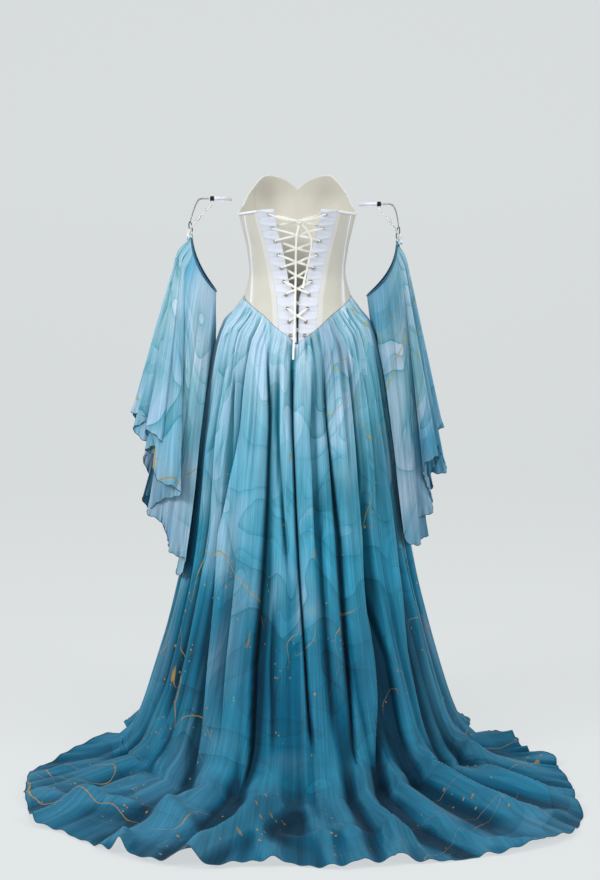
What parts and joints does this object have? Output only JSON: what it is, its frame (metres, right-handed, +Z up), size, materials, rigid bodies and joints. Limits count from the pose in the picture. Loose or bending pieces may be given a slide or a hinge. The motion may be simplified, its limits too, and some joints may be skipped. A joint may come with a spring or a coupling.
{
  "type": "medieval costume dress",
  "caption": "Strapless back-laced corset with a long gathered skirt and train, and two detached bell sleeves on arm bands.",
  "frame": {"origin": "middle of the waist, where the wearer's waist holds the dress up; the hem lies 1.060 m below it", "axes": "+Z up, -Y towards the laced back and the train, +Y towards the front, +X towards the wearer's right"},
  "size_m": [1.1286, 1.2516, 1.2779],
  "materials": {
    "corset_mesh": "ivory mesh cloth, semi-sheer",
    "white_cotton": "white cotton, plain weave",
    "white_tape": "white woven tape",
    "white_lace": "flat satin lace",
    "eyelet_metal": "silver eyelets, slightly worn",
    "chiffon_skirt": "chiffon with a marbled blue print and gold veins",
    "chiffon_sleeve": "chiffon with a marbled pale blue print",
    "teal_binding": "dark teal bound edge",
    "clear_elastic": "translucent white elastic",
    "black_clip": "black clip",
    "silver_chain": "fine silver chain",
    "pearl": "small pearls on a thread",
    "applique": "white cloth flower with a teal edge"
  },
  "bodies": {
    "root": {"corset_back_right": "corset_mesh", "corset_back_left": "corset_mesh", "corset_side_right": "corset_mesh", "corset_side_left": "corset_mesh", "corset_side_front_right": "corset_mesh", "corset_side_front_left": "corset_mesh", "corset_front": "corset_mesh", "top_binding": "white_tape", "lacing_panel_left": "white_cotton", "boning_tape_left": "white_tape", "eyelet_left_1": "eyelet_metal", "eyelet_left_2": "eyelet_metal", "eyelet_left_3": "eyelet_metal", "eyelet_left_4": "eyelet_metal", "eyelet_left_5": "eyelet_metal", "eyelet_left_6": "eyelet_metal", "eyelet_left_7": "eyelet_metal", "eyelet_left_8": "eyelet_metal", "eyelet_left_9": "eyelet_metal", "eyelet_left_10": "eyelet_metal", "lacing_panel_right": "white_cotton", "boning_tape_right": "white_tape", "eyelet_right_1": "eyelet_metal", "eyelet_right_2": "eyelet_metal", "eyelet_right_3": "eyelet_metal", "eyelet_right_4": "eyelet_metal", "eyelet_right_5": "eyelet_metal", "eyelet_right_6": "eyelet_metal", "eyelet_right_7": "eyelet_metal", "eyelet_right_8": "eyelet_metal", "eyelet_right_9": "eyelet_metal", "eyelet_right_10": "eyelet_metal", "lace_half_left": "white_lace", "lace_half_right": "white_lace", "lace_knot": "white_lace", "lace_tail_left": "white_lace", "lace_tail_right": "white_lace", "skirt_back_right": "chiffon_skirt", "skirt_side_right": "chiffon_skirt", "skirt_front": "chiffon_skirt", "skirt_side_left": "chiffon_skirt", "skirt_back_left": "chiffon_skirt", "sleeve_left": "chiffon_sleeve", "sleeve_binding_left": "teal_binding", "sleeve_loop_left": "teal_binding", "arm_elastic_left": "clear_elastic", "arm_clip_left": "black_clip", "arm_chain_left": "silver_chain", "pearl_strand_left": "pearl", "flower_left": "applique", "sleeve_right": "chiffon_sleeve", "sleeve_binding_right": "teal_binding", "sleeve_loop_right": "teal_binding", "arm_elastic_right": "clear_elastic", "arm_clip_right": "black_clip", "arm_chain_right": "silver_chain", "pearl_strand_right": "pearl", "flower_right": "applique"}
  },
  "joints": []
}
